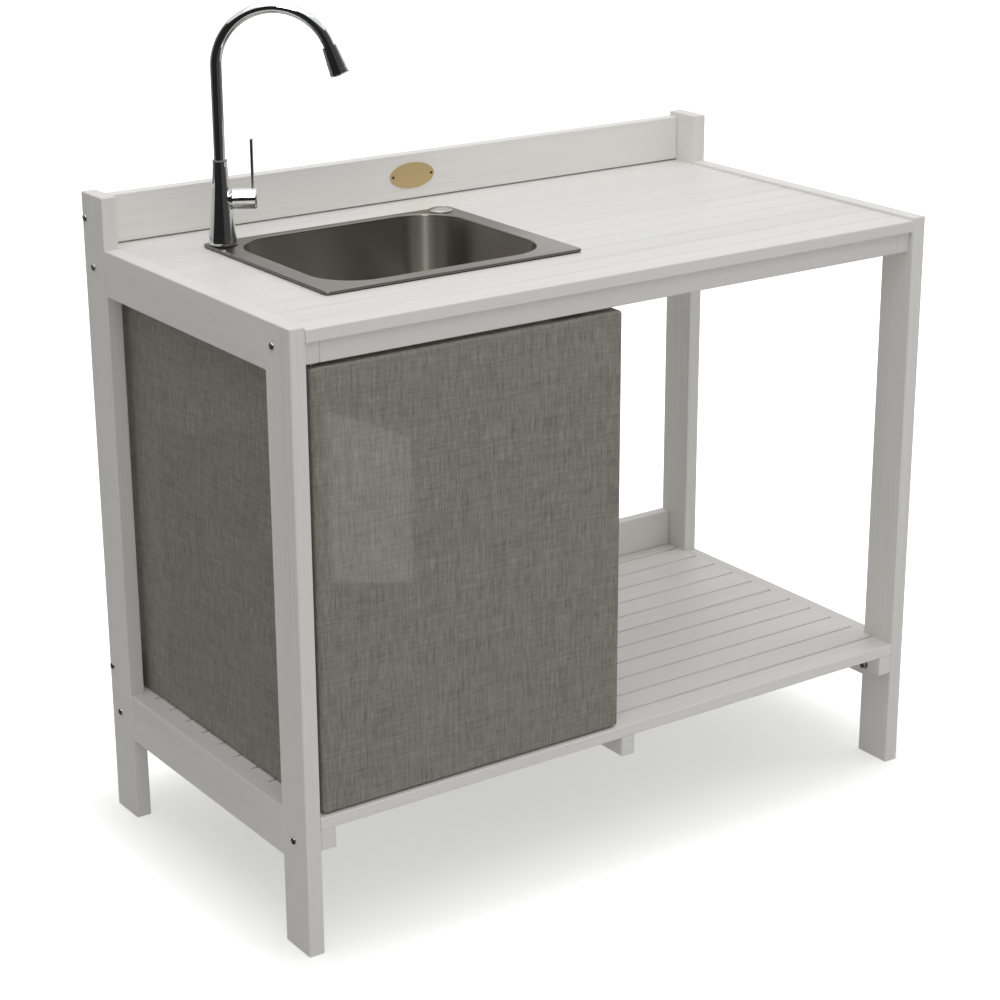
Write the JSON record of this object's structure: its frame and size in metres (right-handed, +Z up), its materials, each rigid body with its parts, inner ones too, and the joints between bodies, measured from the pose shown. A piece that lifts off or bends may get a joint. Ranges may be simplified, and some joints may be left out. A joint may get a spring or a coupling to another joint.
{
  "type": "outdoor kitchen",
  "caption": "Freestanding outdoor kitchen: slatted white timber table with an inset steel sink, swivel tap with side lever, slatted shelf, pivoting fabric-covered door and side panel.",
  "frame": {"origin": "on the floor under the middle of the table", "axes": "+Z up, the front with the door faces -Y, the sink is on the -X side"},
  "size_m": [1.1066, 0.585, 1.2395],
  "materials": {
    "white_timber": "satin white paint on planed timber",
    "woven_fabric": "semi-gloss coated linen-look weave",
    "core_board": "plain board",
    "beech_dowel": "plain turned",
    "plated_steel": "bright zinc plate",
    "stainless": "brushed stainless steel",
    "chrome": "polished chrome plate",
    "brass": "satin brass",
    "black_rubber": "matte",
    "grey_plastic": "matte moulded"
  },
  "bodies": {
    "base": {"backsplash": "white_timber", "barrel_nuts": "plated_steel", "bottom_rail_left": "white_timber", "bottom_rail_right": "white_timber", "door_catch": "grey_plastic", "door_pivot_bushes": "grey_plastic", "drain_nut": "grey_plastic", "drain_seal": "black_rubber", "drain_strainer": "stainless", "drain_tail": "grey_plastic", "fixing_nuts": "plated_steel", "fixing_washers": "plated_steel", "frame_bolts": "plated_steel", "frame_dowels": "beech_dowel", "frame_nuts": "plated_steel", "front_apron": "white_timber", "front_leg_left": "white_timber", "front_leg_right": "white_timber", "oval_plate": "brass", "oval_plate_pins": "brass", "rear_post_left": "white_timber", "rear_post_right": "white_timber", "rear_stretcher": "white_timber", "shelf_batten_left": "white_timber", "shelf_batten_middle": "white_timber", "shelf_batten_right": "white_timber", "shelf_slats": "white_timber", "side_panel_core": "core_board", "side_panel_fabric": "woven_fabric", "sink": "stainless", "sink_clips": "plated_steel", "sink_gasket": "black_rubber", "sink_trimmer_left": "white_timber", "sink_trimmer_right": "white_timber", "slat_screws": "plated_steel", "spout_bush": "grey_plastic", "tap_base_seal": "black_rubber", "tap_body": "chrome", "tap_hole_cap": "chrome", "tap_shank": "brass", "tap_valve": "brass", "top_rail_left": "white_timber", "top_rail_right": "white_timber", "worktop_batten_left": "white_timber", "worktop_batten_right": "white_timber", "worktop_slats_front": "white_timber", "worktop_slats_left": "white_timber", "worktop_slats_notched": "white_timber", "worktop_slats_rear": "white_timber", "worktop_slats_right": "white_timber"},
    "door": {"door_core": "core_board", "door_fabric": "woven_fabric", "door_pivot_pins": "plated_steel", "door_strike_plate": "plated_steel"},
    "spout": {"tap_spout": "chrome", "tap_nozzle": "chrome", "tap_aerator": "grey_plastic"},
    "lever": {"lever_cap": "chrome", "lever_pin": "chrome"}
  },
  "joints": [
    {"name": "door_pivot", "type": "hinge", "parent": "base", "child": "door", "pos_m": [-0.508, -0.2745, 0.5225], "axis": [0, 0, -1], "range_deg": [0, 100]},
    {"name": "spout_swivel", "type": "hinge", "parent": "base", "child": "spout", "pos_m": [-0.395, 0.1595, 1.0075], "axis": [0, 0, 1], "continuous": true},
    {"name": "lever_turn", "type": "hinge", "parent": "base", "child": "lever", "pos_m": [-0.36469, 0.142, 0.9615], "axis": [0.866, -0.5, 0], "range_deg": [0, 90]}
  ]
}
